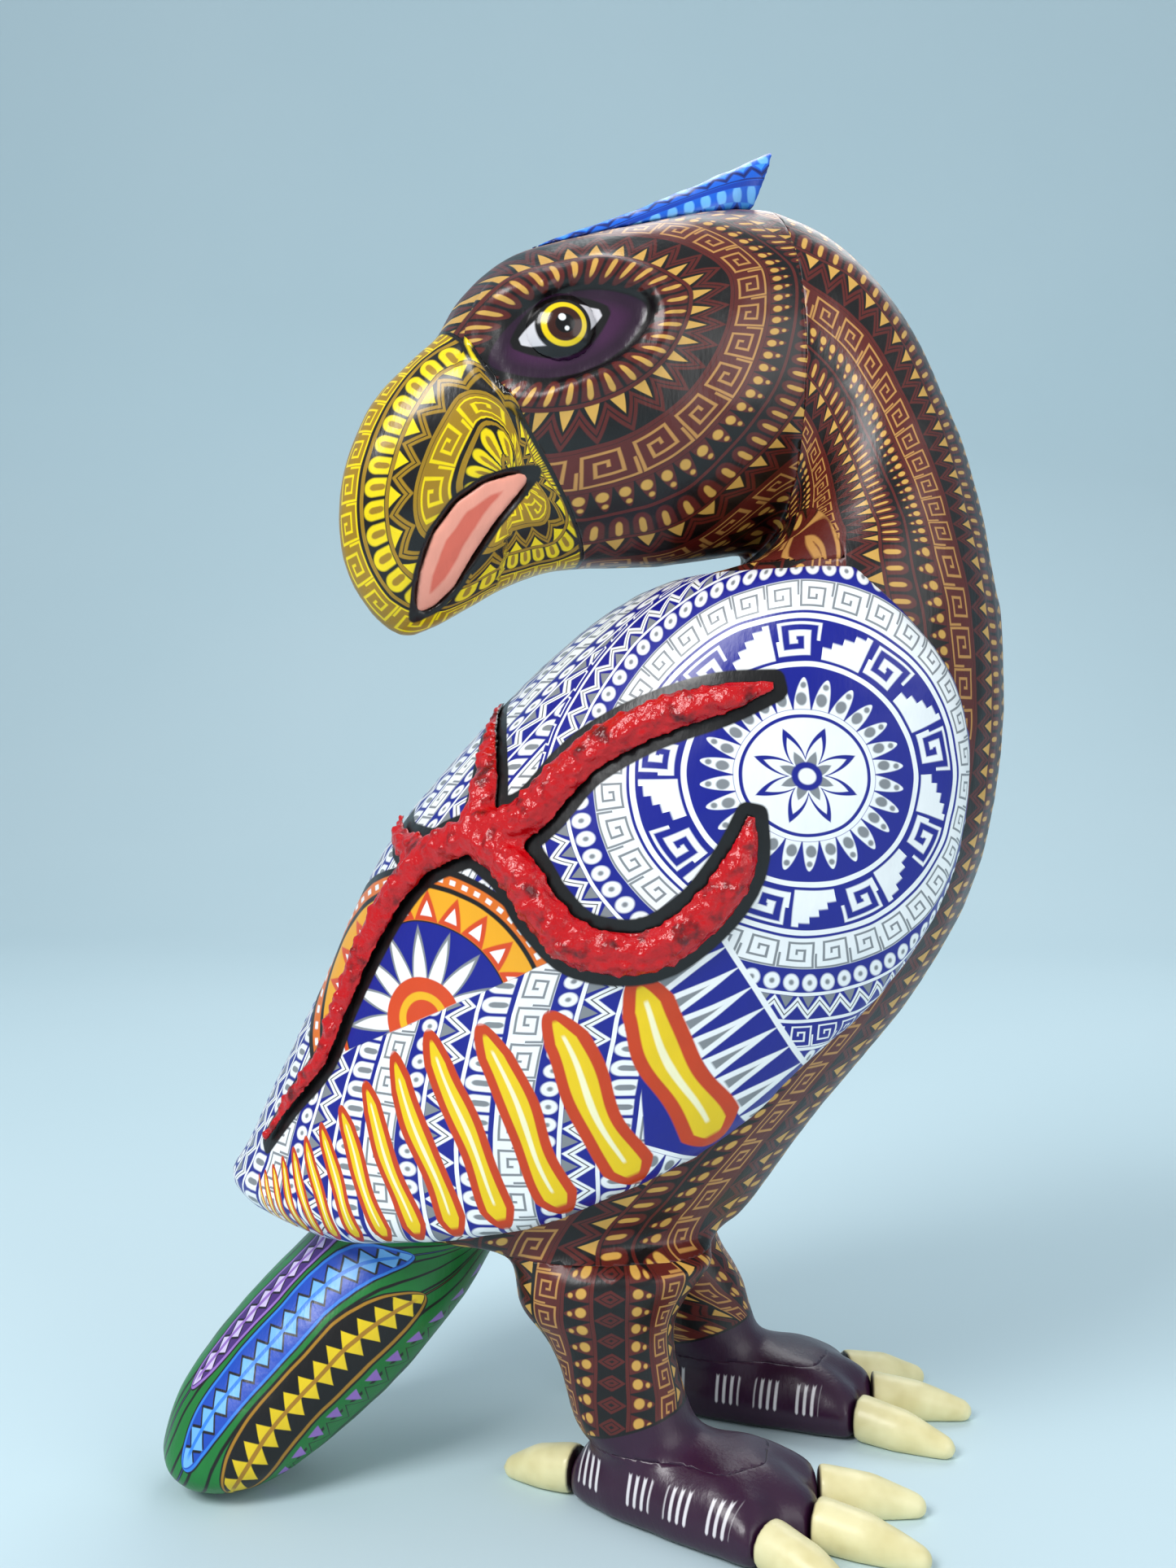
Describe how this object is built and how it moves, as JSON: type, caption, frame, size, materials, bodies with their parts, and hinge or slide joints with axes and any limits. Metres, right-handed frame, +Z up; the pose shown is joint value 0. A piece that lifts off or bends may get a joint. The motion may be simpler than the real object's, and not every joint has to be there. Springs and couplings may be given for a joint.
{
  "type": "alebrije figure",
  "caption": "Painted wood-carved eagle that stands on two feet and its tail and looks back over its folded wings.",
  "frame": {"origin": "on the floor plane, under the middle of the figure", "axes": "+X the way the breast and toes face, +Y the bird's left, +Z up"},
  "size_m": [0.2785, 0.1784, 0.45],
  "materials": {
    "earth_paint": "carved copal wood in satin acrylic, black and red-brown bands with tan strokes",
    "yellow_paint": "satin acrylic, yellow and ochre bands on black",
    "salmon_paint": "satin acrylic, salmon",
    "eye_paint": "glossy acrylic, yellow ring round a dark iris",
    "blue_paint": "satin acrylic, bright blue",
    "wing_paint": "satin acrylic, white and grey fretwork on royal blue",
    "red_relief": "pitted modelling putty in glossy red acrylic",
    "green_paint": "satin acrylic, green with feather motifs",
    "aubergine_paint": "satin acrylic, dark aubergine",
    "cream_paint": "satin acrylic, cream",
    "bare_wood": "unpainted hardwood dowel"
  },
  "bodies": {
    "figure": {"body": "earth_paint", "head": "earth_paint", "beak": "yellow_paint", "tongue": "salmon_paint", "eye_right": "eye_paint", "eye_left": "eye_paint", "wing_right": "wing_paint", "wing_left": "wing_paint", "relief_right": "red_relief", "relief_left": "red_relief", "tail": "green_paint", "leg_right": "earth_paint", "leg_left": "earth_paint", "foot_right": "aubergine_paint", "foot_left": "aubergine_paint", "claws_right": "cream_paint", "claws_left": "cream_paint", "neck_dowel": "bare_wood", "beak_dowel": "bare_wood", "wing_pegs": "bare_wood", "leg_dowels": "bare_wood", "ankle_dowels": "bare_wood", "tail_dowel": "bare_wood"},
    "crest": {"crest": "blue_paint", "crest_peg": "bare_wood"}
  },
  "joints": [
    {"name": "crest_lift", "type": "slide", "parent": "figure", "child": "crest", "axis": [-0.2196, -0.0887, 0.9716], "range_m": [0, 0.03]}
  ]
}
